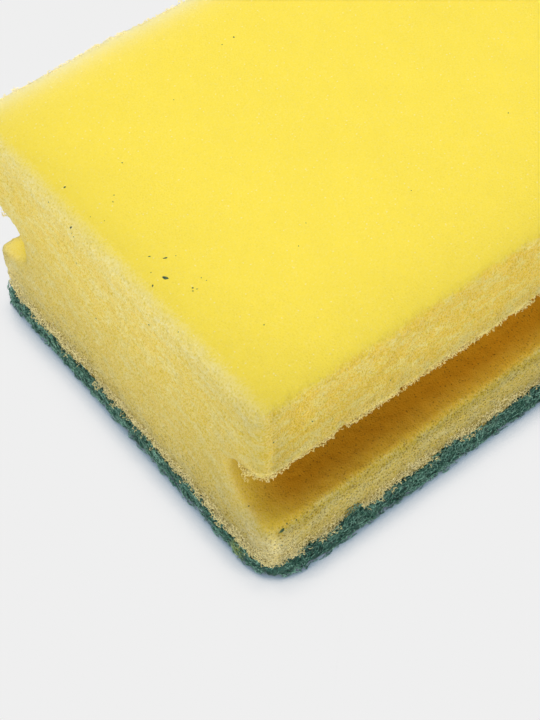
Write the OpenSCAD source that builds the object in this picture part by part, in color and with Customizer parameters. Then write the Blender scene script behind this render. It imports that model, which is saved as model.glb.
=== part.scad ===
// Grip cleaning sponge: a block of open-cell foam with a finger groove along each long
// side, laminated to a non-woven scouring pad that covers its whole underside.
// Millimetres. X runs along the length, Y across the width, Z up.
// The origin is the middle of the scouring pad's underside.

/* [Foam block] */
// Length of the foam, end to end
foam_l = 100; // [60:1:160]
// Width of the foam across the two long sides
foam_w = 70; // [45:1:110]
// Height of the foam above the scouring pad
foam_h = 37.5; // [28:0.5:60]
// Rounding of the foam's upright corners, seen from above
corner_r = 1.8; // [0.5:0.1:6]
// Rounding of the top face's long edges, left by the profile knife
top_side_r = 1.5; // [0.5:0.5:8]
// Rounding of the top face's end edges, where the block is sawn to length
top_end_r = 2.6; // [0.4:0.1:5]

/* [Finger grooves] */
// How far each groove reaches in from its long side
groove_depth = 9; // [5:0.5:14]
// Height of the outer face left above the groove, down from the top
upper_lip_h = 14.5; // [8:0.5:20]
// Height of the outer face left below the groove, up from the pad
lower_lip_h = 8.8; // [3:0.1:12]
// How far the groove's roof drops from its mouth to its back
roof_drop = 4.2; // [1:0.2:6]
// Height of the groove's back, before its corners are rounded
groove_back_h = 8.2; // [2:0.2:12]
// Rounding where the roof turns down into the back
roof_corner_r = 3.5; // [0.5:0.1:5]
// Rounding where the back turns out into the floor
floor_corner_r = 6; // [1:0.5:12]
// Rounding of the upper lip's edge
lip_edge_r = 0.7; // [0.2:0.1:1.2]
// Rounding where the floor runs out over the lower lip
lower_lip_r = 1.5; // [0.2:0.1:4]

/* [Scouring pad] */
// Thickness of the pad
pad_t = 5; // [3:0.5:10]
// How far the stiffer pad stands out past the foam, all round
pad_overhang = 0.4; // [0:0.1:1.5]
// Rounding of the pad's upright corners, seen from above
pad_corner_r = 5; // [1:0.5:10]
// Rounding of the pad's lower edges
pad_edge_r = 0.9; // [0.2:0.1:2]

/* [Hidden] */

arc_step = 7.5;                          // largest turn, in degrees, of one chord of an arc
past = 5;                                // how far a cutting bar runs beyond what it trims
side_y = foam_w / 2;                     // outer face of the foam's long side
top_z = pad_t + foam_h;                  // top face of the foam
mouth_top = top_z - upper_lip_h;         // lower edge of the upper lip
mouth_bottom = pad_t + lower_lip_h;      // upper edge of the lower lip
back_y = side_y - groove_depth;          // the groove's back
back_top = mouth_top - roof_drop;        // where the roof meets the back
back_bottom = back_top - groove_back_h;  // where the back turns out into the floor

// One side of the foam's cross-section, from the pad up, as [y, z, rounding]
foam_side_section = [
    [side_y, pad_t, 0],
    [side_y, mouth_bottom, lower_lip_r],
    [back_y, back_bottom, floor_corner_r],
    [back_y, back_top, roof_corner_r],
    [side_y, mouth_top, lip_edge_r],
    [side_y, top_z, top_side_r],
];

// The same corners mirrored to the other long side, taken from the top down
function mirrored(corners) = [
    for (i = [len(corners) - 1 : -1 : 0]) [-corners[i].x, corners[i].y, corners[i][2]]
];

function unit(v) = v / norm(v);
function flat(v) = [v.x, v.y];

// The round that replaces corner b between its neighbours a and c. It never takes up more
// than half of the shorter side beside it.
function corner_arc(a, b, c, wanted_r) =
    wanted_r <= 0 ? [b] : let (
        to_a = unit(a - b),
        to_c = unit(c - b),
        half_angle = acos(to_a * to_c) / 2,
        room = min(norm(a - b), norm(c - b)) / 2,
        r = min(wanted_r, room * tan(half_angle)),
        centre = b + unit(to_a + to_c) * r / sin(half_angle),
        first = b + to_a * r / tan(half_angle) - centre,
        last = b + to_c * r / tan(half_angle) - centre,
        start = atan2(first.y, first.x),
        turn = atan2(first.x * last.y - first.y * last.x, first * last),
        chords = ceil(abs(turn) / arc_step)
    ) [for (i = [0 : chords]) centre + r * [cos(start + turn * i / chords), sin(start + turn * i / chords)]];

// A closed outline with every [x, y, rounding] corner rounded
function rounded(corners) = let (n = len(corners)) [
    for (i = [0 : n - 1])
        each corner_arc(
            flat(corners[(i + n - 1) % n]),
            flat(corners[i]),
            flat(corners[(i + 1) % n]),
            corners[i][2]
        )
];

// Four corners of a rectangle centred on x, with one rounding for its two lower corners
// and one for its two upper corners
function panel(width, low, high, low_r, high_r) = [
    [-width / 2, low, low_r],
    [width / 2, low, low_r],
    [width / 2, high, high_r],
    [-width / 2, high, high_r],
];

// Bars with an outline drawn square to one axis: along X, along Y and along Z
module bar_along_x(length, corners)
    rotate([90, 0, 90])
        linear_extrude(length, center = true)
            polygon(rounded(corners));

module bar_along_y(length, corners)
    rotate([90, 0, 0])
        linear_extrude(length, center = true)
            polygon(rounded(corners));

module bar_along_z(low, high, corners)
    translate([0, 0, low])
        linear_extrude(high - low)
            polygon(rounded(corners));

// The foam block: the grooved section that the profile knife leaves, trimmed to its length
// with rounded upright corners and rounded top edges at both ends
module foam_block()
    color("gold")
        intersection() {
            bar_along_x(
                foam_l + 2 * past,
                concat(foam_side_section, mirrored(foam_side_section))
            );
            bar_along_y(foam_w + 2 * past, panel(foam_l, pad_t - past, top_z, 0, top_end_r));
            bar_along_z(
                pad_t,
                top_z + past,
                panel(foam_l, -side_y, side_y, corner_r, corner_r)
            );
        }

// The scouring pad: a flat felt of bonded fibres, as large as the foam plus its overhang,
// with its lower edges worn round
module scouring_pad() {
    pad_l = foam_l + 2 * pad_overhang;
    pad_w = foam_w + 2 * pad_overhang;
    color("seagreen")
        intersection() {
            bar_along_x(pad_l + 2 * past, panel(pad_w, 0, pad_t, pad_edge_r, 0));
            bar_along_y(pad_w + 2 * past, panel(pad_l, 0, pad_t + past, pad_edge_r, 0));
            bar_along_z(
                -past,
                pad_t + past,
                panel(pad_l, -pad_w / 2, pad_w / 2, pad_corner_r, pad_corner_r)
            );
        }
}

foam_block();
scouring_pad();
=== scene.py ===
import math
import random

import bpy
import numpy as np
from mathutils import Matrix, Vector, noise
from mathutils.bvhtree import BVHTree


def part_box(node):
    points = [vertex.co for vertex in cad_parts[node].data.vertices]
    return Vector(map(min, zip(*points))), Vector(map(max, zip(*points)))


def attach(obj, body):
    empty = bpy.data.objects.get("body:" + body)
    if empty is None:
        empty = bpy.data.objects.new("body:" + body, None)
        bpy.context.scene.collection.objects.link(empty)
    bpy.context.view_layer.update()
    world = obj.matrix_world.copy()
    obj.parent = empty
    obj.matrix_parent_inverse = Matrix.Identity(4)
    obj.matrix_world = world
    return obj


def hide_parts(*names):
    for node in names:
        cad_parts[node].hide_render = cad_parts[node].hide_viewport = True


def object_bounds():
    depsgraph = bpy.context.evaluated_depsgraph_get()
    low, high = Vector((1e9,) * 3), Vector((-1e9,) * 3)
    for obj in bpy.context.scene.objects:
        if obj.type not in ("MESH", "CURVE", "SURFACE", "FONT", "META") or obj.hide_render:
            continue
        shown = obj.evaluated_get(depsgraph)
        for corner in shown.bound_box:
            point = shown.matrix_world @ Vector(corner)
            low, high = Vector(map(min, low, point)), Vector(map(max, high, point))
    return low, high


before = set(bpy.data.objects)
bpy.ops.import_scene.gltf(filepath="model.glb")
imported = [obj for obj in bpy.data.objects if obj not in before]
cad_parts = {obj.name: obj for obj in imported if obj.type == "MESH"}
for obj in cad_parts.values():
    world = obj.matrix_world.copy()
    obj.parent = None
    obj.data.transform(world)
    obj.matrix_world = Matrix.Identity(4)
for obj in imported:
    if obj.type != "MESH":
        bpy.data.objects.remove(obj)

cad_low, cad_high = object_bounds()


# ----------------------------------------------------------
# The scouring pad's felt: a flat non-woven of nylon fibres, soaked in a dark green resin
# that carries the abrasive. This is the dense middle of the pad. It is cut to the foam's
# size and glued to its underside, and the loose fibres of its faces lie around it.
# ----------------------------------------------------------
pad_low, pad_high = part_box("scouring_pad")
glue_z = pad_high.z

felt_inset = 0.0005
felt_flare = 0.0006
curled_up = 0.0008
felt_voxel = 0.0006
felt_triangles = 46000

# The pad's corners are rubbed off unevenly: front right, rear right, rear left, front left
corner_radii = (0.0040, 0.0040, 0.0018, 0.0062)
cad_corner_r = 0.0050


def pick_only(piece):
    """Deselects everything else and makes this piece the active one."""
    if bpy.context.object and bpy.context.object.mode != "OBJECT":
        bpy.ops.object.mode_set(mode="OBJECT")
    bpy.ops.object.select_all(action="DESELECT")
    piece.select_set(True)
    bpy.context.view_layer.objects.active = piece


def new_object(name, data):
    """An object that holds this data, put into the scene."""
    piece = bpy.data.objects.new(name, data)
    bpy.context.collection.objects.link(piece)
    return piece


def merged_copy(node, name):
    """A copy of a CAD node's mesh as a new piece, with its loose triangles merged."""
    piece = new_object(name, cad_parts[node].data.copy())
    piece.data.materials.clear()
    pick_only(piece)
    bpy.ops.object.mode_set(mode="EDIT")
    bpy.ops.mesh.select_all(action="SELECT")
    bpy.ops.mesh.remove_doubles(threshold=1e-6)
    bpy.ops.mesh.normals_make_consistent(inside=False)
    bpy.ops.object.mode_set(mode="OBJECT")
    return piece


def finish_with(piece, kind, **settings):
    """Adds a modifier, sets it and applies it."""
    pick_only(piece)
    modifier = piece.modifiers.new(kind.lower(), kind)
    for key, value in settings.items():
        setattr(modifier, key, value)
    bpy.ops.object.modifier_apply(modifier=modifier.name)


def swell(piece, amount, grain, kind="CLOUDS", group=""):
    """Pushes the surface in and out along its normals by a noise of that grain."""
    texture = bpy.data.textures.new(f"{piece.name}_{kind.lower()}", kind)
    texture.noise_scale = grain
    finish_with(
        piece, "DISPLACE", texture=texture, texture_coords="LOCAL",
        strength=amount, mid_level=0.5, vertex_group=group,
    )


def linear(red, green, blue):
    """A colour given in screen values from 0 to 255, as the shader's linear RGBA."""
    def one(v):
        v /= 255
        return v / 12.92 if v <= 0.04045 else ((v + 0.055) / 1.055) ** 2.4
    return (one(red), one(green), one(blue), 1.0)


def near(distance, reach):
    """1 at a place, falling smoothly to 0 at that reach from it."""
    share = np.clip(1 - distance / reach, 0.0, 1.0)
    return share * share * (3 - 2 * share)


def wander(place, grain, seed):
    """A smooth noise from about -1 to 1, of that grain."""
    return noise.noise(Vector(place) / grain + Vector((seed, seed * 0.7, -seed)))


# Where the felt has pulled up into the foam or left a gap under it, as [x, y, rise, reach]
tufts = [
    (-0.0353, -0.035, 0.0034, 0.0021),
    (-0.0336, -0.035, 0.0014, 0.0012),
    (-0.0428, -0.035, 0.0018, 0.0012),
    (-0.0158, -0.035, 0.0020, 0.0026),
    (-0.0100, -0.035, -0.0010, 0.0026),
    (-0.0020, -0.035, 0.0008, 0.0018),
    (0.0180, -0.035, 0.0018, 0.0020),
    (0.0350, -0.035, 0.0014, 0.0026),
    (-0.0490, -0.0345, -0.0016, 0.0040),
    (-0.0500, -0.0260, -0.0012, 0.0060),
    (-0.0500, -0.0190, 0.0008, 0.0020),
    (-0.0500, -0.0110, 0.0004, 0.0030),
    (-0.0500, 0.0160, -0.0008, 0.0040),
    (-0.0280, 0.035, 0.0020, 0.0024),
    (0.0080, 0.035, 0.0014, 0.0020),
    (0.0500, 0.010, 0.0016, 0.0024),
]


def seam_height(x, y):
    """Height of the ragged line where the felt meets the foam, at a place on the rim."""
    height = glue_z - 0.0008 + 0.0008 * wander((x, y, 0), 0.0052, 2.0)
    height += 0.0005 * wander((x, y, 0), 0.0019, 5.0) + 0.0004 * near(pad_high.y - abs(y), 0.0030)
    for tuft_x, tuft_y, rise, reach in tufts:
        height += rise * math.exp(-2 * ((x - tuft_x) ** 2 + (y - tuft_y) ** 2) / reach ** 2)
    return height


def corner_at(x, y):
    """The number of the pad's corner that lies in the same quarter as a place."""
    return (0 if y < 0 else 1) if x > 0 else (2 if y > 0 else 3)


def underside(x, y):
    """Height of the pad's underside, which curls up a little at its front left corner."""
    return pad_low.z + curled_up * near(math.hypot(x - pad_low.x, y - pad_low.y), 0.0100)


felt = merged_copy("scouring_pad", "pad_felt")
finish_with(felt, "REMESH", mode="VOXEL", voxel_size=felt_voxel)
finish_with(felt, "SMOOTH", factor=0.8, iterations=12)
finish_with(felt, "DISPLACE", strength=-felt_inset, mid_level=0.0)
for vertex in felt.data.vertices:
    x, y, z = vertex.co
    from_corner = math.hypot(abs(x) - pad_high.x, abs(y) - pad_high.y)
    outwards = (cad_corner_r - corner_radii[corner_at(x, y)]) * (math.sqrt(2) - 1)
    outwards *= near(from_corner, 0.0070)
    vertex.co.x += math.copysign(outwards * math.sqrt(0.5), x)
    vertex.co.y += math.copysign(outwards * math.sqrt(0.5), y)
    spread = felt_flare * near(z - pad_low.z, 0.0032) * (1 - 1.5 * near(from_corner, 0.0090))
    vertex.co.x += math.copysign(spread * near(pad_high.x - abs(x), 0.0060), x)
    vertex.co.y += math.copysign(spread * near(pad_high.y - abs(y), 0.0060), y)
    vertex.co.z += underside(x, y) - pad_low.z - 0.0006 * near(z - pad_low.z, 0.0024)
    if z > glue_z - 0.003:
        hang = min(seam_height(x, y) - glue_z, 0.0)
        vertex.co.z += hang * (z - glue_z + 0.003) / 0.003
swell(felt, 0.0012, grain=0.0016)
swell(felt, 0.0008, grain=0.0006)
for vertex in felt.data.vertices:
    vertex.co.z = max(vertex.co.z, underside(vertex.co.x, vertex.co.y) + 0.00005)
felt_faces = sum(len(face.vertices) - 2 for face in felt.data.polygons)
finish_with(felt, "DECIMATE", ratio=felt_triangles / felt_faces)
pick_only(felt)
bpy.ops.object.shade_smooth()


def put(tree, value, socket):
    """Links a value to a socket, or sets it there when it is a plain number or colour."""
    if isinstance(value, bpy.types.NodeSocket):
        tree.links.new(value, socket)
    else:
        socket.default_value = value


def add_node(tree, kind, inputs, **settings):
    """Adds a node with its settings, and puts values or links into its inputs."""
    node = tree.nodes.new("ShaderNode" + kind)
    for key, value in settings.items():
        setattr(node, key, value)
    for key, value in inputs.items():
        put(tree, value, node.inputs[key])
    return node


def new_material(name, values):
    """A node material with its output and a Principled BSDF of these values."""
    material = bpy.data.materials.new(name)
    material.use_nodes = True
    tree = material.node_tree
    tree.nodes.clear()
    shader = add_node(tree, "BsdfPrincipled", values)
    add_node(tree, "OutputMaterial", {"Surface": shader.outputs["BSDF"]})
    return material, tree, shader


def new_group(name, inputs, outputs):
    """A shader node group with these inputs at their usual values, and outputs of these kinds."""
    tree = bpy.data.node_groups.new(name, "ShaderNodeTree")
    for key, usual in inputs.items():
        kind = "NodeSocketColor" if isinstance(usual, tuple) else "NodeSocketFloat"
        socket = tree.interface.new_socket(key, in_out="INPUT", socket_type=kind)
        socket.default_value = usual
    for key, kind in outputs.items():
        tree.interface.new_socket(key, in_out="OUTPUT", socket_type="NodeSocket" + kind)
    given = tree.nodes.new("NodeGroupInput").outputs
    result = tree.nodes.new("NodeGroupOutput").inputs
    return tree, given, result


def object_millimetres(tree):
    """Object coordinates in millimetres."""
    place = add_node(tree, "TexCoord", {}).outputs["Object"]
    return add_node(tree, "VectorMath", {0: place, "Scale": 1000}, operation="SCALE").outputs["Vector"]


def noise_of(tree, where, scale, detail, roughness=0.5):
    """A noise texture's value, at so many features a millimetre."""
    return add_node(tree, "TexNoise", {
        "Vector": where, "Scale": scale, "Detail": detail, "Roughness": roughness,
    }).outputs["Fac"]


def between(tree, value, low, high, to_low=0.0, to_high=1.0):
    """A value taken smoothly from one range to another."""
    return add_node(tree, "MapRange", {
        "Value": value, "From Min": low, "From Max": high, "To Min": to_low, "To Max": to_high,
    }, interpolation_type="SMOOTHSTEP").outputs["Result"]


def mixed(tree, share, first, second):
    """Two colours mixed by a share."""
    return add_node(tree, "Mix", {0: share, 6: first, 7: second}, data_type="RGBA").outputs[2]


def step(tree, operation, *values, clamp=False):
    """One arithmetic step on two or three values."""
    inputs = dict(enumerate(values))
    return add_node(tree, "Math", inputs, operation=operation, use_clamp=clamp).outputs[0]


def raise_by(tree, height, strength, shader):
    """Feeds a height to the shader's normal through a Bump node."""
    bump = add_node(tree, "Bump", {"Height": height, "Strength": strength, "Distance": 0.0002})
    put(tree, bump.outputs["Normal"], shader.inputs["Normal"])


# Where the pad's edge is stained yellow-green, in millimetres
stain_place = (-50.4, -27.3, 1.4)


def resin_group():
    """Green resin over nylon: dark and pale flecks that are partly painted shade and painted highlight,
    painted shade in the gaps between the fibres, and one stain.
    """
    tree, given, result = new_group(
        "resin_over_nylon", {"Dark": linear(16, 54, 46), "Pale_and_highlit": linear(58, 110, 94)},
        {"Color": "Color", "Height": "Float"},
    )
    where = object_millimetres(tree)
    # Dark and pale flecks: partly painted shade on deeper fibres and painted highlight on the rest
    patch = between(tree, noise_of(tree, where, 0.55, 3), 0.35, 0.68)
    fleck = between(tree, noise_of(tree, where, 3.2, 2), 0.42, 0.66)
    share = step(tree, "MULTIPLY", fleck, 0.6)
    share = step(tree, "MULTIPLY_ADD", patch, 0.4, share)
    resin = mixed(tree, share, given["Dark"], given["Pale_and_highlit"])
    # Painted shade: near black in the gaps between the fibres
    painted_gap_shade = between(tree, noise_of(tree, where, 1.3, 2), 0.30, 0.48, 0.65, 0.0)
    resin = mixed(tree, painted_gap_shade, resin, linear(8, 30, 26))
    from_stain = add_node(tree, "VectorMath", {0: where, 1: stain_place}, operation="DISTANCE")
    stained = between(tree, from_stain.outputs["Value"], 0.9, 2.2, 1.0, 0.0)
    stained = step(tree, "MULTIPLY", stained, between(tree, fleck, 0.0, 0.6, 0.1, 0.7))
    put(tree, mixed(tree, stained, resin, linear(172, 186, 92)), result["Color"])
    put(tree, noise_of(tree, where, 5.0, 3), result["Height"])
    return tree


resin_over_nylon = resin_group()


def scouring_resin(name, dark, pale_and_highlit, bump):
    """The resin of a piece, between its dark colour and its pale one, which is partly a painted
    highlight.
    """
    material, tree, shader = new_material(name, {"Roughness": 0.55, "Specular IOR Level": 0.35})
    resin = add_node(tree, "Group", {"Dark": dark, "Pale_and_highlit": pale_and_highlit}, node_tree=resin_over_nylon)
    put(tree, resin.outputs["Color"], shader.inputs["Base Color"])
    raise_by(tree, resin.outputs["Height"], bump, shader)
    return material


felt.data.materials.append(scouring_resin(
    "resin_in_the_felt", linear(16, 54, 46), linear(58, 110, 94), 0.8,
))
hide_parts("scouring_pad")
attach(felt, "root")


# ----------------------------------------------------------
# The fibres around the pad's cut edge: crimped nylon, about 0.13 mm thick with the resin
# on it, laid flat in the web and bonded where they cross. Cutting the pad leaves them
# curling along the edge, and a few stand off it or climb into the foam.
# ----------------------------------------------------------
fibre_d = 0.00013
edge_fibres = 7400
fibre_steps = 4
climbing_share = 0.12
standing_off_share = 0.03
rim_half = (pad_high - pad_low) / 2


def pad_rim():
    """The pad's outline from its front right corner, as places and the ways out from them."""
    rim = []
    for number, radius in enumerate(corner_radii):
        right, rear = (1, 1, -1, -1)[number], (-1, 1, 1, -1)[number]
        for index in range(13):
            angle = math.radians(90 * number - 90 + 7.5 * index)
            way = (math.cos(angle), math.sin(angle))
            x = right * (rim_half.x - radius) + radius * way[0]
            y = rear * (rim_half.y - radius) + radius * way[1]
            rim.append((x, y, *way))
    rim = np.array(rim + rim[:1])
    lengths = np.hypot(*np.diff(rim[:, :2], axis=0).T)
    return rim, np.concatenate(([0.0], np.cumsum(lengths)))


rim, rim_marks = pad_rim()
rim_length = rim_marks[-1]


def on_rim(along):
    """The pad's outline: the place that far along it, and the way out from there."""
    x, y, out_x, out_y = (np.interp(along % rim_length, rim_marks, rim[:, column]) for column in range(4))
    return Vector((x, y)), Vector((out_x, out_y)).normalized()


def fibre_piece(name, strands, thickness, material):
    """Turns lists of points into crimped three-sided fibres, as one closed mesh."""
    profile = bpy.data.curves.new(name + "_profile", "CURVE")
    profile.dimensions = "2D"
    corner = profile.splines.new("POLY")
    corner.points.add(2)
    corner.use_cyclic_u = True
    for index in range(3):
        angle = 2 * math.pi * index / 3
        corner.points[index].co = (
            thickness / 2 * math.cos(angle), thickness / 2 * math.sin(angle), 0, 1,
        )
    profile_piece = new_object(name + "_profile", profile)
    curve = bpy.data.curves.new(name, "CURVE")
    curve.dimensions = "3D"
    curve.bevel_mode = "OBJECT"
    curve.bevel_object = profile_piece
    curve.use_fill_caps = True
    for strand in strands:
        spline = curve.splines.new("POLY")
        spline.points.add(len(strand) - 1)
        flat = [value for point in strand for value in (*point, 1.0)]
        spline.points.foreach_set("co", flat)
    piece = new_object(name, curve)
    pick_only(piece)
    bpy.ops.object.convert(target="MESH")
    piece = bpy.context.object
    bpy.data.objects.remove(profile_piece)
    bpy.ops.object.mode_set(mode="EDIT")
    bpy.ops.mesh.select_all(action="SELECT")
    bpy.ops.mesh.normals_make_consistent(inside=False)
    bpy.ops.object.mode_set(mode="OBJECT")
    bpy.ops.object.shade_smooth()
    piece.data.materials.append(material)
    return piece


chance = random.Random(11)
strands = []
for _ in range(edge_fibres):
    along = chance.uniform(0, rim_length)
    depth = chance.triangular(-0.0002, 0.0009, 0.0001)
    place, _ = on_rim(along)
    top = seam_height(place.x, place.y) + (0.0006 if chance.random() < climbing_share else 0.0001)
    low = underside(place.x, place.y)
    height = low + (top - low) * chance.random()
    heading = chance.gauss(0, 0.8) + (math.pi if chance.random() < 0.5 else 0)
    curl = chance.gauss(0, 900)
    stride = chance.uniform(0.00028, 0.00065)
    standing_off = chance.random() < standing_off_share
    strand = []
    for index in range(fibre_steps + 1):
        place, out = on_rim(along)
        shown = depth + 0.0003 * wander((place.x, place.y, height), 0.0017, 9.0)
        if standing_off:
            shown -= 0.0002 * math.sin(math.pi * index / fibre_steps)
        strand.append((
            place.x - out.x * shown,
            place.y - out.y * shown,
            min(max(height, low + fibre_d / 2), top),
        ))
        heading += curl * stride + chance.gauss(0, 0.35)
        along += stride * math.cos(heading)
        height += stride * math.sin(heading)
        depth = min(max(depth + chance.gauss(0, 0.00010), -0.0002), 0.0012)
    strands.append(strand)

fibre_resin = scouring_resin("resin_on_the_fibres", linear(38, 98, 82), linear(158, 208, 186), 0.2)
edge = fibre_piece("pad_edge_fibres", strands, fibre_d, fibre_resin)
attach(edge, "root")


# ----------------------------------------------------------
# The fibres of the pad's working face: the same web seen from below, where it scrubs.
# They lie flat in loose curls across the whole underside, and the pad rests on them.
# ----------------------------------------------------------
face_fibres = 2600
face_fibre_d = 0.00022
face_steps = 5
face_web_h = 0.0014


def kept_inside(x, y, margin):
    """The place, or the nearest one that lies so far inside the pad's rounded outline."""
    radius = corner_radii[corner_at(x, y)] + 0.0012
    straight = rim_half - Vector((radius, radius, 0))
    past = Vector((max(abs(x) - straight.x, 0), max(abs(y) - straight.y, 0)))
    if past.length < radius - margin:
        return x, y
    allowed = past.normalized() * (radius - margin)
    return (
        math.copysign(min(abs(x), straight.x) + allowed.x, x),
        math.copysign(min(abs(y), straight.y) + allowed.y, y),
    )


chance = random.Random(23)
strands = []
for _ in range(face_fibres):
    x = chance.uniform(pad_low.x, pad_high.x)
    y = chance.uniform(pad_low.y, pad_high.y)
    height = pad_low.z + chance.uniform(0.0001, 0.0012)
    heading = chance.uniform(0, 2 * math.pi)
    curl = chance.gauss(0, 200)
    stride = chance.uniform(0.0011, 0.0026)
    margin = chance.uniform(0.0006, 0.0030)
    strand = []
    for index in range(face_steps + 1):
        x, y = kept_inside(x, y, margin)
        height = min(max(height, pad_low.z + face_fibre_d / 2), pad_low.z + face_web_h)
        strand.append((x, y, height))
        heading += curl * stride + chance.gauss(0, 0.25)
        x += stride * math.cos(heading)
        y += stride * math.sin(heading)
        height += chance.gauss(0, 0.00012)
    strands.append(strand)
face = fibre_piece("pad_face_fibres", strands, face_fibre_d, fibre_resin)
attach(face, "root")


# ----------------------------------------------------------
# The foam block: open-cell polyurethane foam, dyed yellow, sawn from a slab and cut along
# both sides with a profile knife for the finger grooves. Its top is the smooth face of the
# slab. Its cut faces are open cells of under half a millimetre, torn back at the lips.
# ----------------------------------------------------------
foam_low, foam_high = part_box("foam_block")
foam_voxel = 0.0005

# How far the torn cells reach from a lip and above the pad, and how deep a lip's bays are
torn_lip = 0.0024
torn_foot = 0.0034
torn_bays = 0.0007

side_y = foam_high.y
end_x = foam_high.x


def surface_of(piece):
    """The piece's surface as a tree that finds the nearest place and the first hit."""
    return BVHTree.FromPolygons(
        [v.co.copy() for v in piece.data.vertices],
        [tuple(face.vertices) for face in piece.data.polygons],
    )


def rising(values, low, high):
    """0 below the lower value, rising smoothly to 1 at the higher one."""
    share = np.clip((values - low) / (high - low), 0.0, 1.0)
    return share * share * (3 - 2 * share)


foam = merged_copy("foam_block", "foam_body")
cut_surface = surface_of(foam)
corners = np.array([v.co for v in foam.data.vertices])
outer = sorted(set(corners[np.abs(np.abs(corners[:, 1]) - side_y) < 1e-5][:, 2].round(6)))
mouth, lip_low = max((high - low, low) for low, high in zip(outer, outer[1:]) if low < 0.02)
lip_high = lip_low + mouth
groove_back_y = min(abs(y) for x, y, z in corners if lip_low < z < lip_high)
roof_z = max(z for x, y, z in corners if abs(abs(y) - groove_back_y) < 1e-5 and z < lip_high)
groove_depth = side_y - groove_back_y

finish_with(foam, "REMESH", mode="VOXEL", voxel_size=foam_voxel)
pick_only(foam)
bpy.ops.object.mode_set(mode="EDIT")
bpy.ops.mesh.select_all(action="DESELECT")
bpy.ops.mesh.select_mode(type="FACE")
bpy.ops.object.mode_set(mode="OBJECT")
for face in foam.data.polygons:
    x, y, z = face.center
    hidden = abs(x) < end_x - 0.004 and abs(y) < side_y - 0.004
    face.select = hidden and z < foam_low.z + foam_voxel and face.normal.z < -0.9
bpy.ops.object.mode_set(mode="EDIT")
bpy.ops.mesh.dissolve_faces()
bpy.ops.mesh.quads_convert_to_tris(quad_method="BEAUTY", ngon_method="BEAUTY")
bpy.ops.object.mode_set(mode="OBJECT")


def from_faces(places):
    """How far each place lies inside the block's side and end, and its height."""
    return side_y - np.abs(places[:, 1]), end_x - np.abs(places[:, 0]), places[:, 2]


def bays(places):
    """A ragged line along the block, from 0 to 1, with bays of about 3 mm and teeth of 1 mm."""
    line = []
    for x, y, _ in places:
        seed = 3.0 if y < 0 else 17.0
        line.append(0.45 + 0.9 * wander((x, 0, 0), 0.0031, seed) + 0.5 * wander((x, 0, 0), 0.0011, seed))
    return np.clip(line, 0.0, 1.0)


def groove_band(z):
    """1 at the height of a groove, falling to 0 beyond its lips."""
    return near(np.maximum(np.abs(z - 0.5 * (lip_low + lip_high)) - 0.5 * mouth, 0), 0.0030)


def read_places(piece):
    """The piece's vertices and their normals, as arrays."""
    count = len(piece.data.vertices)
    co, normal = np.empty(count * 3), np.empty(count * 3)
    piece.data.vertices.foreach_get("co", co)
    piece.data.vertices.foreach_get("normal", normal)
    return co.reshape(-1, 3), normal.reshape(-1, 3)


def weigh(piece, name, weights):
    """A vertex group with these weights."""
    group = piece.vertex_groups.new(name=name)
    for index, weight in enumerate(weights.tolist()):
        if weight > 0:
            group.add([index], weight, "REPLACE")


# The groove's end edges and the lower corners are worn soft, the other cut edges a little
co, normal = read_places(foam)
side, end, z = from_faces(co)
at_end = near(np.maximum(end - 0.001, 0), 0.0060) * (side < groove_depth + 0.007)
softness = np.array([corner_radii[corner_at(x, y)] for x, y, _ in co]) / max(corner_radii)
lower_corner = near(np.hypot(side, end), 0.0070) * near(np.maximum(z - lip_low, 0), 0.0040)
in_groove = groove_band(z) * rising(side, 0.0010, 0.0050)
weigh(foam, "soft", np.maximum(in_groove * at_end, softness * lower_corner))
finish_with(foam, "SMOOTH", factor=0.9, iterations=40, vertex_group="soft")
weigh(foam, "worn", near(np.minimum(end, side), 0.003) * (z > glue_z + 0.001))
finish_with(foam, "SMOOTH", factor=0.6, iterations=4, vertex_group="worn")

# The upper lips have lost a ragged strip of their solid foam
co, normal = read_places(foam)
side, end, z = from_faces(co)
share = near(np.hypot(side, z - lip_high), torn_lip)
torn = np.nonzero(share)[0]
co[torn, 2] += share[torn] * (0.0001 + torn_bays * bays(co[torn]))

# The foam has spread a little at its rear top edge and its rear lower lip
rear = co[:, 1] > 0
co += (near(np.hypot(side, foam_high.z - z), 0.0060) * rear)[:, None] * (0.0, 0.0003, 0.0002)
co += (near(np.hypot(side, z - lip_low), 0.0050) * rear)[:, None] * (0.0, 0.0005, 0.0)

# The foot has lost a thin layer, more where the felt stands against it, and the foam hangs
# down to the felt where the seam is low
depth = 0.00030 * near(z - glue_z, torn_foot)
for index in np.nonzero(z < glue_z + 0.0040)[0]:
    x, y, height = co[index]
    seam = seam_height(x, y)
    if height < seam + 0.0010 and normal[index][2] > -0.8:
        depth[index] = max(depth[index], min(seam - height, 0.0015))
    if seam < glue_z:
        hang = near(height - glue_z, 0.0030) * near(min(side[index], end[index]), 0.0030)
        co[index][2] += (seam - glue_z) * hang
co -= normal * depth[:, None]
foam.data.vertices.foreach_set("co", co.ravel())
foam.data.update()

# Cut cells roughen every face but the smooth top and the glued one
on_top = (z > foam_high.z - 0.0008) & (normal[:, 2] > 0.9)
under = (z < foam_low.z + 0.0005) & (normal[:, 2] < -0.9)
weigh(foam, "cut", np.where(under, 0.0, np.where(on_top, 0.2, 1.0)))
swell(foam, 0.0007, grain=0.011)
swell(foam, 0.00026, grain=0.0013, group="cut")
swell(foam, 0.00034, grain=0.00055, kind="VORONOI", group="cut")
pick_only(foam)
bpy.ops.object.shade_smooth()
foam.vertex_groups.clear()
foam_surface = surface_of(foam)

co, normal = read_places(foam)
side, end, z = from_faces(co)
up = normal[:, 2]


def store(piece, name, values):
    """Stores a number from 0 to 1 at each vertex, for the piece's material to read."""
    attribute = piece.data.attributes.new(name, "FLOAT", "POINT")
    attribute.data.foreach_set("value", np.clip(values, 0.0, 1.0).astype(np.float32))


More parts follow.
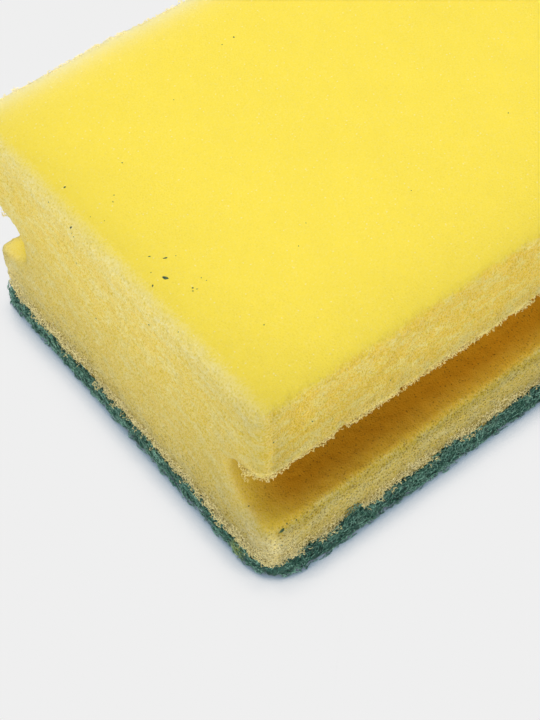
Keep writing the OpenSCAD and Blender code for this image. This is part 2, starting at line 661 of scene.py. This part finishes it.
# Which face of the block each place belongs to
top_face = near(np.maximum(0.96 - up, 0), 0.75) * near(foam_high.z - z, 0.0070)
inside_mouth = (z > lip_low + 0.001) & (z < lip_high + 0.001) & (side < groove_depth + 0.002)
groove = inside_mouth * rising(side, -0.0004, 0.0016) * rising(end, -0.0002, 0.0015)
sawn = near(end, 0.0025) * (z < foam_high.z - 0.0001)
low_lip = near(side, 0.0030) * (1 - rising(z, lip_low + 0.0002, lip_low + 0.0024))
front = rising(-co[:, 1], 0.0, 0.001)

# Frayed edges, where thin broken cells catch the light: lips, corners, rims and sawn ends
lip = near(np.hypot(0.8 * side, z - lip_high), 0.0050)
lip_rim = near(np.hypot(side, z - lip_high), 0.0024)
upright = near(np.hypot(side, end), 0.0045) * (1 - groove_band(z) * rising(z, lip_low - 0.0005, lip_low))
ridge = near(np.hypot(2.2 * end, foam_high.z - z), 0.0065)
far_edge = near(np.hypot(side, foam_high.z - z), 0.0050) * (1 - front)
rim_share = near(end, 0.0050) * groove_band(z) * near(np.maximum(side - groove_depth - 0.001, 0), 0.0030)
foot = near(z - glue_z, 0.0090) * np.maximum(sawn, low_lip)
pale = np.max([
    0.15 * lip, 0.38 * lip_rim, 0.14 * low_lip * (1 - rising(z, lip_low - 0.0020, lip_low + 0.0016)),
    0.14 * upright * (1 - sawn), 0.34 * ridge, 0.20 * far_edge, 0.06 * rim_share,
], axis=0)
pale += 0.14 * sawn * (1 - ridge) * (1 - 0.7 * near(side, 0.0045))
pale += 0.05 * sawn * (1 - rising(z, 0.016, 0.028)) + 0.12 * foot
low_corner = near(np.hypot(side, end), 0.0080) * (1 - rising(z, lip_low - 0.0015, lip_low + 0.0015))
pale += (0.26 + 0.16 * front) * low_corner
store(foam, "pale", pale)

# Painted light at the rear edges: paler towards a pale cream where light from behind comes through the
# thin foam
rear_rim = 0.85 * np.exp(-np.hypot(np.maximum(side, 0), foam_high.z - z) / 0.0018) * (1 - front)
rear_lips = 0.26 * np.exp(-np.maximum(side, 0) / 0.0024) * near(end, 0.0070) * (1 - front)
rear_lips *= (z < lip_high + 0.002) * (z > glue_z + 0.002)
store(foam, "painted_backlight", np.maximum(rear_rim * rising(up, -0.15, 0.50), rear_lips))

# A painted glow: light comes through the thin foam at the edges that face away from it
through = np.maximum(0.35 * rear_rim, 0.20 * lip * rising(lip_high + 0.0012 - z, 0.0, 0.0008))
store(foam, "see_through", through * (1 - rising(up, 0.10, 0.80)))

# The knife-cut sides are the most golden, the sawn ends half as much, the top not at all
cut_gold = (1 - top_face) * (1 - 0.5 * sawn) * (1 - 0.6 * ridge) * (1 - 0.5 * low_lip)
cut_gold *= 1 - 0.7 * lip_rim
not_in_groove = 1 - groove * np.maximum(0.30 + 0.60 * near(end, 0.0120), 1 - front)
store(foam, "gold", cut_gold * not_in_groove)

# Cells torn wide open near the pad and at the lips, with painted shade inside them
low_end = near(end, 0.002) * near(np.maximum(z - glue_z - 0.001, 0), 0.0110)
store(foam, "open", np.max([0.85 * low_lip, foot, 0.8 * low_end, 0.3 * lip], axis=0))

# The smooth top and the insides of the grooves, where the cells are closed
store(foam, "smooth", np.maximum(top_face * (1 - 0.7 * ridge), 0.85 * groove))

# Painted shade in the grooves: how deep inside a groove a place lies, where the light between its walls
# has turned orange and dim, less where a groove faces the light
inward = 0.52 + 0.48 * rising(side, 0.0, 0.0048)
facing_light = 0.05 + 0.95 * front
store(foam, "deep", groove * inward * (0.40 + 0.60 * rising(end, 0.0, 0.0085)) * facing_light)

# Painted shade: darker where light soaks into the foam and leaks out at its edges, where less comes back
# from low down, towards the front and on the grooves' floors; lighter again at the lower corners
at_edges = 1 - (1 - 0.16 * front * np.exp(-side / 0.0060)) * (1 - 0.19 * np.exp(-end / 0.0060))
down_the_end = 0.14 * (1 - rising(z, 0.016, 0.036)) + 0.33 * np.exp(-(z - glue_z) / 0.0045)
to_the_front = 0.12 * (1 - rising(co[:, 1], -0.030, -0.008)) + 0.20 * np.exp(-side / 0.0030)
down_the_side = 0.15 * (1 - rising(z, 0.030, 0.0405)) + 0.17 * near(end, 0.0080)
down_the_side -= 0.08 * rising(end, 0.010, 0.035) * rising(z, 0.0285, 0.033)
low_side = 0.15 + 0.20 * rising(z, lip_low - 0.0022, lip_low + 0.0008) + 0.10 * near(end, 0.0100)
low_side += 0.32 * np.exp(-(z - glue_z) / 0.0036) + 0.08 * near(end, 0.0040)
on_floor = (0.02 + 0.20 * near(np.abs(end - 0.016), 0.030) + 0.10 * near(end, 0.0060)) * facing_light
dim = np.where(z > lip_high - 0.001, down_the_side, low_side * low_lip)
dim = np.maximum(dim * (1 - sawn), (down_the_end + to_the_front) * sawn)
dim = np.maximum(dim - (0.24 - 0.06 * front) * low_corner, 0.0)
dim = dim * (1 - groove) + (on_floor + 0.10 * (1 - front)) * groove
store(foam, "dim", top_face * at_edges + (1 - top_face) * dim)


def spots(tree, where, scale, size, share):
    """Round spots of about that size in millimetres, in a share of a random lattice."""
    cells = add_node(tree, "TexVoronoi", {"Vector": where, "Scale": scale})
    spot = between(tree, cells.outputs["Distance"], 0.5 * size * scale, 0.9 * size * scale, 1, 0)
    lot = add_node(tree, "SeparateColor", {"Color": cells.outputs["Color"]})
    chosen = between(tree, lot.outputs["Red"], 1 - share - 0.05, 1 - share + 0.05)
    return step(tree, "MULTIPLY", spot, chosen)


def open_cell_group():
    """Open cells: a net of pale struts round pores darkened with painted shade, with blotches and fine
    grain.
    """
    tree, given, result = new_group("open_cells", {
        "Cell size": 0.42, "Pale": 0.0, "Open": 0.0, "Smooth": 0.0, "Deep": 0.0,
        "Golden": 0.5, "Dim": 0.0, "Faded": 0.0, "Light through": 0.0,
        "Dyed": (0.960, 0.750, 0.076, 1), "Gold": (0.960, 0.655, 0.062, 1),
        "Bleached": (0.970, 0.865, 0.46, 1), "Pore": (0.22, 0.11, 0.010, 1),
        "Shaded": (0.57, 0.265, 0.007, 1),
    }, {"Color": "Color", "Glow": "Color", "Height": "Float"})
    where = object_millimetres(tree)

    # The net of cells, bent so that no row of them runs straight
    bend = add_node(tree, "TexNoise", {"Vector": where, "Scale": 1.4, "Detail": 1})
    bent = add_node(tree, "VectorMath", {
        0: bend.outputs["Color"], 1: (0.5, 0.5, 0.5), 2: where,
    }, operation="MULTIPLY_ADD").outputs["Vector"]
    in_cells = {"Vector": bent, "Scale": step(tree, "DIVIDE", 1.0, given["Cell size"])}
    walls = add_node(tree, "TexVoronoi", in_cells, feature="DISTANCE_TO_EDGE")
    strut = between(tree, walls.outputs["Distance"], 0.03, 0.24, 1.0, 0.0)
    cells = add_node(tree, "TexVoronoi", in_cells)
    lot = add_node(tree, "SeparateColor", {"Color": cells.outputs["Color"]})
    chosen = between(tree, lot.outputs["Red"], 0.0, 0.80)
    hollow = between(tree, cells.outputs["Distance"], 0.12, 0.50, 1.0, 0.0)
    pore = step(tree, "MULTIPLY", chosen, hollow)

    # Blotches that lie in the slab's layers, and a fine grain
    layered = add_node(tree, "Mapping", {
        "Vector": where, "Rotation": (0.16, 0.22, 0.0), "Scale": (0.55, 0.55, 1.15),
    })
    blotch = noise_of(tree, layered.outputs["Vector"], 0.55, 4, 0.66)
    gold_patch = between(tree, blotch, 0.40, 0.60, 0.45, 1.25)
    cream_patch = between(tree, blotch, 0.36, 0.54, 1.0, 0.0)
    grain = noise_of(tree, where, 3.2, 3, 0.70)
    rough = step(tree, "SUBTRACT", 1.0, given["Smooth"])

    # The cut foam's colour, from golden through yellow to bleached
    gold_share = step(tree, "MULTIPLY", gold_patch, given["Golden"], clamp=True)
    body = mixed(tree, gold_share, given["Dyed"], given["Gold"])
    creamy = step(tree, "MULTIPLY_ADD", cream_patch, 0.26, -0.02)
    creamy = step(tree, "MULTIPLY_ADD", strut, 0.20, creamy)
    creamy = step(tree, "MULTIPLY", creamy, rough)
    speckle = step(tree, "MULTIPLY_ADD", grain, 1.9, -0.95)
    spread = step(tree, "MULTIPLY_ADD", rough, 0.54, 0.46)
    creamy = step(tree, "MULTIPLY_ADD", speckle, spread, creamy)
    pale_share = step(tree, "ADD", creamy, given["Pale"], clamp=True)
    colour = mixed(tree, pale_share, body, given["Bleached"])

    # Painted glints: sparse whitish spots, none where a groove is deep
    glint = spots(tree, where, 1.7, 0.16, 0.16)
    glint = step(tree, "MULTIPLY", glint, step(tree, "SUBTRACT", 1.0, given["Deep"]))
    colour = mixed(tree, step(tree, "MULTIPLY", glint, 0.6), colour, given["Bleached"])

    # Painted shade: the dark of the grooves, the pores, the pits and the torn cells
    colour = mixed(tree, given["Deep"], colour, given["Shaded"])
    darkness = step(tree, "MULTIPLY_ADD", rough, 0.10, 0.03)
    darkness = step(tree, "MULTIPLY_ADD", given["Open"], 0.74, darkness)
    pore_share = step(tree, "MULTIPLY", pore, darkness, clamp=True)
    colour = mixed(tree, pore_share, colour, given["Pore"])
    pit = spots(tree, bent, 1.9, 0.17, 0.80)
    pitted = step(tree, "MULTIPLY", given["Deep"], step(tree, "MULTIPLY", pit, 0.65))
    colour = mixed(tree, pitted, colour, (0.16, 0.075, 0.004, 1))
    torn = spots(tree, where, 2.3, 0.17, 0.75)
    torn = step(tree, "MULTIPLY", given["Open"], step(tree, "MULTIPLY", torn, 0.75))
    colour = mixed(tree, torn, colour, (0.22, 0.12, 0.010, 1))

    # Painted light and shade: dimmer places with a fine dark speckle, paler backlit ones, and a glow for
    # light from behind
    crumpled = between(tree, grain, 0.34, 0.50, 0.12, 0.0)
    crumpled = step(tree, "MULTIPLY", crumpled, rough)
    dimmed = step(tree, "ADD", given["Dim"], crumpled, clamp=True)
    colour = mixed(tree, dimmed, colour, (0.0, 0.0, 0.0, 1))
    colour = mixed(tree, given["Faded"], colour, (0.87, 0.83, 0.58, 1))
    put(tree, colour, result["Color"])
    put(tree, mixed(tree, given["Light through"], (0, 0, 0, 1), colour), result["Glow"])

    # The struts stand up and the pores lie deep
    relief = step(tree, "MULTIPLY_ADD", pore, -0.9, strut)
    relief = step(tree, "MULTIPLY_ADD", grain, 1.4, relief)
    softened = step(tree, "MULTIPLY_ADD", rough, 0.70, 0.30)
    put(tree, step(tree, "MULTIPLY", relief, softened), result["Height"])
    return tree


open_cells = open_cell_group()


def foam_material(name, bump, **settings):
    """Yellow open-cell foam. A setting is a number or colour, or the name of an attribute."""
    material, tree, shader = new_material(name, {
        "Roughness": 0.85, "Specular IOR Level": 0.12, "Emission Strength": 1.0,
    })
    cells = add_node(tree, "Group", {}, node_tree=open_cells)
    for key, value in settings.items():
        if isinstance(value, str):
            value = add_node(tree, "Attribute", {}, attribute_name=value).outputs["Fac"]
        put(tree, value, cells.inputs[key.replace("_", " ")])
    put(tree, cells.outputs["Color"], shader.inputs["Base Color"])
    put(tree, cells.outputs["Glow"], shader.inputs["Emission Color"])
    raise_by(tree, cells.outputs["Height"], bump, shader)
    return material


cut_face = foam_material(
    "foam_cut_face", 0.4, Pale="pale", Open="open", Smooth="smooth", Deep="deep",
    Golden="gold", Dim="dim", Faded="painted_backlight", Light_through="see_through",
)
foam.data.materials.append(cut_face)
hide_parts("foam_block")
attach(foam, "root")


# ----------------------------------------------------------
# The open cells at the torn lips, round the foot and on the rubbed rear edge: the same foam,
# seen as the net of struts that it is. The knife and wear drag the thin walls out of the
# cells and leave the struts standing, with the dark of the groove or the block in between.
# ----------------------------------------------------------
cell_size = 0.00070
strut_r = 0.000054
cell_uneven = 0.00010

# A net roots this deep in the foam, and one of fewer corners than this is left out
net_root = 0.00018
smallest_net = 40


def cell_corners(low, high, unit):
    """Corners of a packing of fourteen-sided cells in a box, and each one's neighbours.

    On a grid of quarter cells, a corner has one odd coordinate, one that is a multiple of
    four and one that is two more than a multiple of four.
    """
    first = np.floor(np.array(low) / unit).astype(int)
    count = np.ceil(np.array(high) / unit).astype(int) - first
    grid = np.indices(tuple(count)).reshape(3, -1).T + first
    kind = grid % 4
    grid = grid[
        ((kind % 2 == 1).sum(1) == 1) & ((kind == 0).sum(1) == 1) & ((kind == 2).sum(1) == 1)
    ]
    kind = grid % 4
    rows = np.arange(len(grid))
    odd_axis = (kind % 2 == 1).argmax(1)
    neighbours = []
    for target in (0, 2):
        axis = (kind == target).argmax(1)
        value = grid[rows, odd_axis]
        turned = np.where((value - 1) % 4 == target, value - 1, value + 1)
        for way in (-1, 1):
            beside = grid.copy()
            beside[rows, odd_axis] = turned
            beside[rows, axis] += way
            neighbours.append(beside)
    return grid, np.stack(neighbours, 1)


def height_above(surface, place):
    """How far a place lies outside a closed surface, or below zero inside it."""
    nearest, normal, _, _ = surface.find_nearest(place)
    return (place - nearest).dot(normal)


def as_keys(cells, first, count):
    """One whole number for each grid place."""
    moved = cells - first
    return (moved[..., 0] * count[1] + moved[..., 1]) * count[2] + moved[..., 2]


def at_the_lip(place, seed):
    """Whether an open cell's corner stands in the ragged strip that an upper lip has lost."""
    side = side_y - abs(place.y)
    roof = lip_high - (lip_high - roof_z) * side / groove_depth
    torn_edge = lip_high + 0.0005 + torn_bays * bays([place])[0]
    if side > groove_depth - 0.0030 or not roof - 0.0009 < place.z < torn_edge:
        return False
    over = height_above(cut_surface, place)
    if not -0.0014 < over < 0.0007 or height_above(foam_surface, place) < -0.00015:
        return False
    below = near(abs(place.z - roof), 0.0012)
    gnawed = 0.0014 * max(wander(place, 0.0021, seed), 0.0) + 0.0008 * wander(place, 0.0006, seed + 4)
    return over < 0.0001 + 0.0004 * below - gnawed


def at_the_foot(place, seed):
    """Whether an open cell's corner stands on the foam just above the pad."""
    if place.z < seam_height(place.x, place.y) - 0.0003:
        return False
    corner = near(math.hypot(side_y - abs(place.y), end_x - abs(place.x)), 0.0090)
    reach = -0.0002 + 0.0007 * near(place.z - glue_z, torn_foot * (1.3 + 0.7 * corner))
    reach += 0.0005 * wander(place, 0.0013, seed)
    return -net_root < height_above(foam_surface, place) < reach


def at_the_rear_edge(place, seed):
    """Whether an open cell's corner stands out from the top's rear edge."""
    if math.hypot(side_y + 0.0006 - place.y, foam_high.z + 0.0004 - place.z) > 0.0016:
        return False
    reach = 0.00026 + 0.00040 * wander(place, 0.0011, seed)
    return -net_root < height_above(foam_surface, place) < reach


def torn_cells(name, low, high, seed, stands):
    """The struts whose corners stand free in a box, as one closed mesh."""
    unit = cell_size / 4
    grid, beside = cell_corners(low, high, unit)
    shake = np.random.default_rng(seed).normal(size=(len(grid), 3)) * cell_uneven
    places = grid * unit + shake
    side, end, _ = from_faces(places)
    shell = np.nonzero((np.minimum(side, end) < 0.0014) & (side > -0.0012) & (end > -0.0008))[0]
    kept = [index for index in shell if stands(Vector(places[index]), seed)]
    grid, beside, places = grid[kept], beside[kept], places[kept]

    first, count = grid.min(0) - 4, grid.max(0) - grid.min(0) + 9
    keys = as_keys(grid, first, count)
    order = np.argsort(keys)
    wanted = as_keys(beside, first, count)
    found = order[np.minimum(np.searchsorted(keys[order], wanted), len(keys) - 1)]
    other = np.where(keys[found] == wanted, found, -1)
    group, before = np.arange(len(grid)), None
    while before is None or (group != before).any():
        before = group
        lowest = np.where(other >= 0, group[other], len(grid)).min(1)
        group = np.minimum(group, lowest)
        group = group[group]
    members = np.bincount(group, minlength=len(grid))[group]
    other[members < smallest_net] = -1
    way = np.where((other >= 0)[..., None], places[other] - places[:, None], beside - grid[:, None])
    way /= np.linalg.norm(way, axis=2, keepdims=True)

    vertices = (places[:, None] - strut_r * way).reshape(-1, 3)
    rounds = []
    for arm in range(4):
        rest = [index for index in range(4) if index != arm]
        a, b, c = (vertices.reshape(-1, 4, 3)[:, index] for index in rest)
        outward = (np.cross(b - a, c - a) * way[:, arm]).sum(1) > 0
        rounds.append(np.where(outward[:, None], rest, [rest[0], rest[2], rest[1]]))
    rounds = np.stack(rounds, 1)
    faces = []
    for here in range(len(grid)):
        if (other[here] < 0).all():
            continue
        for arm in range(4):
            there = other[here, arm]
            ring = 4 * here + rounds[here, arm]
            if there < 0:
                faces.append(tuple(int(v) for v in ring))
            elif there > here:
                back = int(np.nonzero(other[there] == here)[0][0])
                facing = (4 * there + rounds[there, back])[::-1]
                turns = [np.roll(facing, turn) for turn in range(3)]
                facing = min(turns, key=lambda t: ((vertices[t] - vertices[ring]) ** 2).sum())
                for index in range(3):
                    after = (index + 1) % 3
                    faces.append((
                        int(ring[index]), int(ring[after]), int(facing[after]), int(facing[index]),
                    ))
    mesh = bpy.data.meshes.new(name)
    mesh.from_pydata(vertices.tolist(), [], faces)
    piece = new_object(name, mesh)
    pick_only(piece)
    bpy.ops.object.mode_set(mode="EDIT")
    bpy.ops.mesh.select_all(action="SELECT")
    bpy.ops.mesh.delete_loose(use_verts=True, use_edges=False, use_faces=False)
    bpy.ops.object.mode_set(mode="OBJECT")
    bpy.ops.object.shade_smooth()
    return piece


# The struts get a faint painted glow where light comes through them, and the rear ones are also painted
# paler
lip_struts = foam_material(
    "foam_struts_at_the_lips", 0.2, Pale=0.60, Smooth=0.5, Golden=0.0, Light_through=0.08,
)
foot_struts = foam_material(
    "foam_struts_at_the_foot", 0.2, Pale=0.88, Smooth=0.5, Golden=0.0, Light_through=0.06,
)
rear_struts = foam_material(
    "foam_struts_at_the_rear_edge", 0.2, Pale=0.50, Smooth=0.5, Faded=0.3, Light_through=0.34,
)
lip_span = (roof_z, lip_high + 0.0022)
foot_span = (foam_low.z - 0.0020, glue_z + 2 * torn_foot)
edge_span = (foam_high.z - 0.0020, foam_high.z + 0.0012)
made_of = {at_the_lip: lip_struts, at_the_foot: foot_struts, at_the_rear_edge: rear_struts}
nets = [
    ("front_lip_cells", (-side_y, 0.001 - groove_back_y), lip_span, 5, at_the_lip),
    ("rear_lip_cells", (groove_back_y - 0.001, side_y), lip_span, 8, at_the_lip),
    ("front_foot_cells", (-side_y - 0.0006, 0.0), foot_span, 12, at_the_foot),
    ("rear_foot_cells", (0.0, side_y + 0.0006), foot_span, 15, at_the_foot),
    ("rear_edge_cells", (side_y - 0.0022, side_y + 0.0012), edge_span, 19, at_the_rear_edge),
]
for name, (near_y, far_y), (low_z, high_z), seed, stands in nets:
    net = torn_cells(
        name, (-end_x - 0.0006, near_y, low_z), (end_x + 0.0006, far_y, high_z), seed, stands,
    )
    net.data.materials.append(made_of[stands])
    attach(net, "root")


# ----------------------------------------------------------
# Crumbs of the green resin: they rub off the pad in use and stick in the open cells of
# the foam, most of them on the top near one end. Each is a chip of under a millimetre.
# ----------------------------------------------------------
crumb_sink = 0.15
tiny_crumbs = 12
top_z = foam_high.z

# Each as [x, y, z, length, width, turn], with the sizes in millimetres and the turn in degrees
crumbs_seen = [
    (-0.0455, -0.0088, top_z, 1.00, 0.50, 20),
    (-0.0435, -0.0060, top_z, 0.75, 0.30, 65),
    (-0.0450, -0.0044, top_z, 0.42, 0.22, 10),
    (-0.0476, -0.0088, top_z, 0.42, 0.24, 130),
    (-0.0437, -0.0125, top_z, 0.32, 0.25, 0),
    (-0.0434, -0.0130, top_z, 0.28, 0.20, 50),
    (-0.0440, -0.0129, top_z, 0.25, 0.20, 90),
    (-0.0467, 0.0136, top_z, 0.42, 0.36, 30),
    (-0.0100, 0.0230, top_z, 0.40, 0.34, 40),
    (-0.0378, 0.0124, top_z, 0.26, 0.22, 10),
    (-0.0423, 0.0079, top_z, 0.24, 0.16, 75),
    (-0.0431, 0.0070, top_z, 0.26, 0.18, 20),
    (-0.0418, -0.0118, top_z, 0.24, 0.16, 60),
    (-0.0402, -0.0233, top_z, 0.24, 0.20, 15),
    (0.0103, -0.0151, top_z, 0.26, 0.18, 35),
    (-0.0500, 0.0080, 0.0413, 0.50, 0.36, 80),
    (-0.0500, 0.0076, 0.0404, 0.35, 0.30, 20),
    (-0.0500, 0.0070, 0.0402, 0.24, 0.20, 140),
    (-0.0500, 0.0137, 0.0417, 0.26, 0.20, 50),
    (-0.0500, -0.0106, 0.0379, 0.30, 0.22, 50),
    (-0.0500, 0.0078, 0.0339, 0.25, 0.20, 10),
    (-0.0500, 0.0048, 0.0244, 0.34, 0.30, 0),
    (-0.0481, -0.0350, 0.0360, 0.46, 0.40, 15),
    (-0.0418, -0.0350, 0.0350, 0.25, 0.22, 70),
    (-0.0284, -0.0350, 0.0324, 0.28, 0.25, 40),
    (-0.0474, -0.0350, 0.0134, 1.05, 0.40, 25),
    (-0.0462, -0.0346, 0.0138, 0.35, 0.22, 45),
    (-0.0477, -0.0350, 0.0101, 0.38, 0.30, 100),
    (-0.0490, -0.0295, 0.0149, 0.28, 0.22, 80),
    (-0.0448, -0.0350, 0.0137, 0.30, 0.22, 60),
]


def crumb(x, y, z, length, width, turn):
    """A chip of resin, stuck to the foam where it lies nearest."""
    nearest, out, _, _ = foam_surface.find_nearest(Vector((x, y, z)))
    bpy.ops.object.select_all(action="DESELECT")
    bpy.ops.mesh.primitive_ico_sphere_add(subdivisions=2, radius=0.0005)
    chip = bpy.context.object
    for vertex in chip.data.vertices:
        vertex.co *= 1 + 0.5 * wander(vertex.co, 0.0004, turn)
    chip.data.transform(
        Matrix.Translation(nearest - out * crumb_sink * width / 1000)
        @ out.to_track_quat("Z", "Y").to_matrix().to_4x4()
        @ Matrix.Rotation(math.radians(turn), 4, "Z")
        @ Matrix.Diagonal((length, width, 0.7 * width, 1))
    )
    return chip


chance = random.Random(31)
chips = [crumb(*seen) for seen in crumbs_seen]
for _ in range(tiny_crumbs):
    chips.append(crumb(
        -end_x + 0.040 * chance.random() ** 1.5, chance.uniform(-0.022, 0.024), top_z,
        chance.uniform(0.12, 0.26), chance.uniform(0.10, 0.18), chance.uniform(0, 180),
    ))
pick_only(chips[0])
for chip in chips:
    chip.select_set(True)
bpy.ops.object.join()
crumbs = bpy.context.object
crumbs.name = "scouring_crumbs"
bpy.ops.object.shade_smooth()
crumbs.data.materials.append(scouring_resin(
    "resin_in_the_crumbs", linear(24, 62, 44), linear(88, 112, 60), 0.3,
))
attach(crumbs, "root")


# ----------------------------------------------------------
# Floor, light and camera: a pale sheet under a large soft lamp from behind, with a weaker
# one overhead, one from the front left and a faint cool surround. The camera sees the sheet
# as one even grey with a painted shadow where the pad rests on it.
# ----------------------------------------------------------
sheet_grey = linear(239, 239, 239)
contact_reach = 0.0070


def shown_to(tree, rays, lit, shown):
    """One shader that lights the object, and another that these kinds of ray see."""
    path = add_node(tree, "LightPath", {})
    share = 0.0
    for ray in rays:
        share = step(tree, "MAXIMUM", share, path.outputs[ray])
    return add_node(tree, "MixShader", {0: share, 1: lit, 2: shown}).outputs["Shader"]


bpy.ops.object.select_all(action="DESELECT")
bpy.ops.mesh.primitive_plane_add(size=6, location=(0, 0, cad_low.z))
floor = bpy.context.object
floor.name = "floor"
floor_paint, tree, shader = new_material("floor_paint", {
    "Base Color": (0.86, 0.86, 0.86, 1), "Roughness": 0.9, "Specular IOR Level": 0.0,
})

# What the camera sees: a wide faint shade, a darker one near by, and a dark line at the rim
contact = add_node(tree, "AmbientOcclusion", {"Distance": contact_reach}, samples=8).outputs["AO"]
covered = step(tree, "MULTIPLY_ADD", contact, -1 / 0.45, 0.95 / 0.45, clamp=True)
wide_shade = step(tree, "MULTIPLY", step(tree, "POWER", covered, 1.5), 0.22)
shadow = step(tree, "MULTIPLY_ADD", step(tree, "POWER", covered, 4.5), 0.75, wide_shade)
seen_grey = mixed(tree, shadow, sheet_grey, linear(131, 152, 168))
below = between(tree, contact, 0.12, 0.52, 1.0, 0.0)
seen_grey = mixed(tree, below, seen_grey, linear(74, 82, 90))
seen_sheet = add_node(tree, "Emission", {"Color": seen_grey}).outputs["Emission"]
painted = shown_to(tree, ["Is Camera Ray"], shader.outputs["BSDF"], seen_sheet)
put(tree, painted, tree.get_output_node("ALL").inputs["Surface"])
floor.data.materials.append(floor_paint)


def soft_lamp(name, place, size, level, colour):
    """A square area lamp that looks at the middle of the object.

    Its level is the light that it gives a surface facing it there, where 1 makes white.
    """
    place = Vector(place)
    lamp = bpy.data.lights.new(name, "AREA")
    lamp.shape = "SQUARE"
    lamp.size = size
    lamp.energy = level * math.pi ** 2 * place.length_squared
    lamp.color = colour
    holder = new_object(name, lamp)
    holder.location = place
    holder.rotation_euler = (-place).to_track_quat("-Z", "Y").to_euler()


soft_lamp("lamp_behind", (0.35, 0.75, 1.15), 0.80, 0.44, (1.0, 0.995, 0.985))
soft_lamp("lamp_overhead", (-0.10, 0.0, 1.40), 0.80, 0.20, (1.0, 0.99, 0.97))
soft_lamp("lamp_front_left", (-0.85, -0.75, 0.80), 0.70, 0.51, (1.0, 0.995, 0.985))

world = bpy.data.worlds.new("studio")
bpy.context.scene.world = world
world.use_nodes = True
tree = world.node_tree
tree.nodes.clear()
surround = add_node(tree, "Background", {"Color": (0.84, 0.92, 1.0, 1), "Strength": 0.30})
backdrop = add_node(tree, "Background", {"Color": sheet_grey})
all_round = shown_to(
    tree, ["Is Camera Ray", "Is Glossy Ray"],
    surround.outputs["Background"], backdrop.outputs["Background"],
)
add_node(tree, "OutputWorld", {"Surface": all_round})

lens = bpy.data.cameras.new("camera")
lens.sensor_width = 36
lens.lens = 81.55
camera = new_object("camera", lens)
camera_place = Vector((-0.11571, -0.13097, 0.20765))
turn, tilt, roll = (math.radians(angle) for angle in (-35.263, 52.738, -3.339))
back = Vector((math.sin(turn) * math.cos(tilt), -math.cos(turn) * math.cos(tilt), math.sin(tilt)))
right = Vector((math.cos(turn), math.sin(turn), 0))
up = back.cross(right)
right, up = (
    math.cos(roll) * right + math.sin(roll) * up,
    -math.sin(roll) * right + math.cos(roll) * up,
)
camera.matrix_world = Matrix.Translation(camera_place) @ Matrix((right, up, back)).transposed().to_4x4()
bpy.context.scene.camera = camera

bpy.context.scene.view_settings.view_transform = "Standard"
